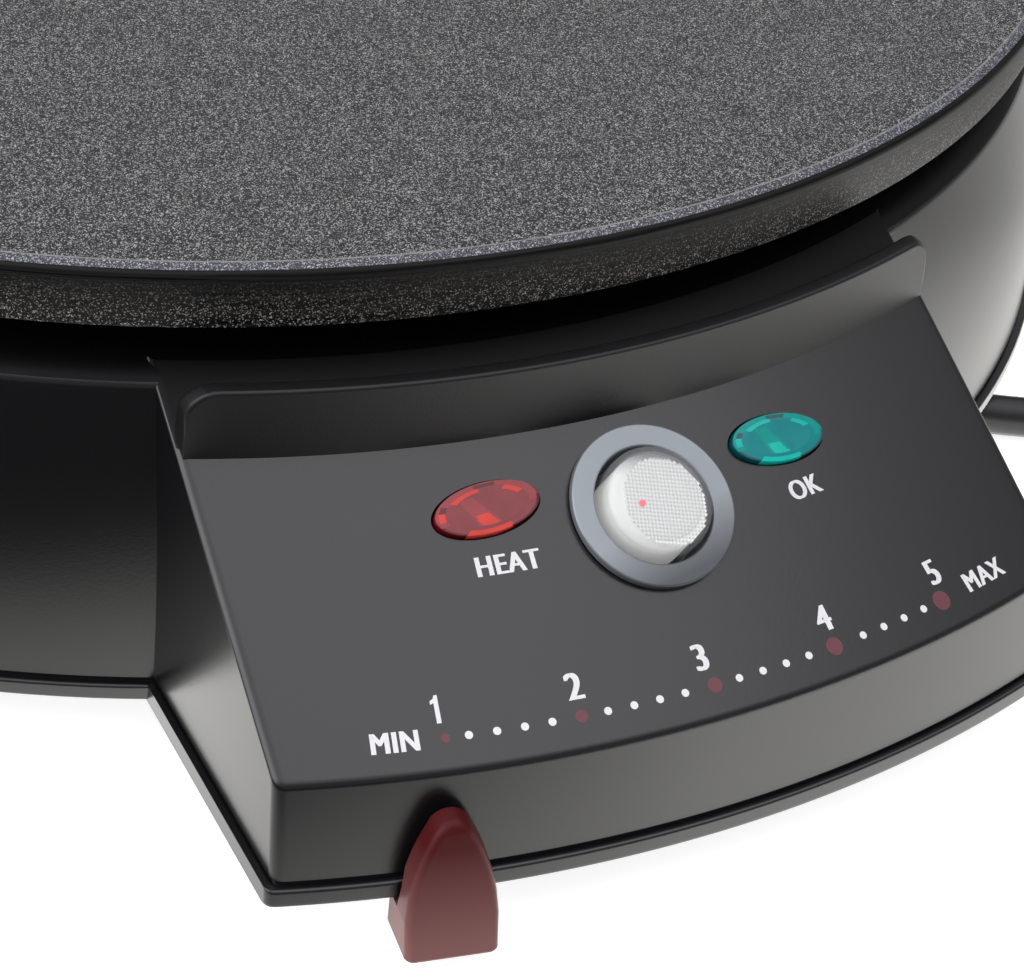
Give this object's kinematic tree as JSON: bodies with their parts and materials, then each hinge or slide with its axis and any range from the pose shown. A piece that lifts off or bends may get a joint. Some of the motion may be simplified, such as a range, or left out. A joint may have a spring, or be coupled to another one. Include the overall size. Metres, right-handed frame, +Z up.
{
  "type": "electric crepe maker",
  "caption": "Round electric crepe maker with a speckled non-stick griddle plate on a black base, a sloping control panel with two lamps, a round indicator and a burgundy heat slider.",
  "frame": {"origin": "On the table, in the plane of the four rubber feet, under the middle of the appliance's plan without its cord. The plate's axis stands 22.3 mm behind it.", "axes": "+Z points up along the plate's axis. -Y points to the control panel at the front. +X points to the right as seen from the front."},
  "size_m": [0.3898, 0.3672, 0.075],
  "materials": {
    "plate_coating": "speckled non-stick coating, satin",
    "element_sheath": "heat-darkened steel sheath",
    "plated_steel": "zinc-plated",
    "shield_steel": "aluminised sheet",
    "ceramic_body": "unglazed steatite",
    "fuse_case": "plain",
    "black_plastic": "fine-textured moulded plastic",
    "cover_plastic": "fine-textured moulded plastic",
    "foot_rubber": "matte",
    "bezel_metal": "satin silver-grey",
    "milky_lens": "translucent milky",
    "white_diffuser": "translucent white",
    "board": "solder-masked board",
    "red_led": "tinted clear",
    "red_lens_plastic": "tinted clear",
    "green_lens_plastic": "tinted clear",
    "white_plastic": "moulded, satin",
    "lamp_glass": "clear glass bulb",
    "wire_black": "insulated wire",
    "wire_white": "insulated wire",
    "wire_green": "insulated wire",
    "burgundy_plastic": "satin moulded",
    "cord_pvc": "flexible PVC",
    "pin_brass": "nickel-free brass"
  },
  "bodies": {
    "griddle": {"cooking_plate": "plate_coating", "heating_element": "element_sheath", "element_clamps": "plated_steel", "clamp_screws": "plated_steel", "heat_shield": "shield_steel", "plate_spacers": "plated_steel", "plate_screws": "plated_steel", "thermostat": "ceramic_body", "thermostat_bracket": "plated_steel", "bracket_screws": "plated_steel", "thermal_fuse": "fuse_case", "base_shell": "black_plastic", "panel_guard": "black_plastic", "bottom_cover": "cover_plastic", "cover_screws": "plated_steel", "rubber_feet": "foot_rubber", "bezel_ring": "bezel_metal", "bezel_nut": "plated_steel", "indicator_lens": "milky_lens", "lens_diffuser": "white_diffuser", "led_board": "board", "indicator_led": "red_led", "red_lens": "red_lens_plastic", "green_lens": "green_lens_plastic", "lamp_holders": "white_plastic", "neon_lamps": "lamp_glass", "terminal_block": "white_plastic", "wires_live": "wire_black", "wires_neutral": "wire_white", "wires_earth": "wire_green", "strain_relief": "cord_pvc", "power_cord": "cord_pvc", "cord_coil": "cord_pvc", "cord_tail": "cord_pvc", "power_plug": "cord_pvc", "plug_pins": "pin_brass"},
    "heat_slider": {"heat_shaft": "plated_steel", "slider_arm": "plated_steel", "hub_screw": "plated_steel", "slider_knob": "burgundy_plastic"}
  },
  "joints": [
    {"name": "heat_slide", "type": "hinge", "parent": "griddle", "child": "heat_slider", "pos_m": [0, 0.02229, 0.02], "axis": [0, 0, 1], "range_deg": [0, 23]}
  ]
}
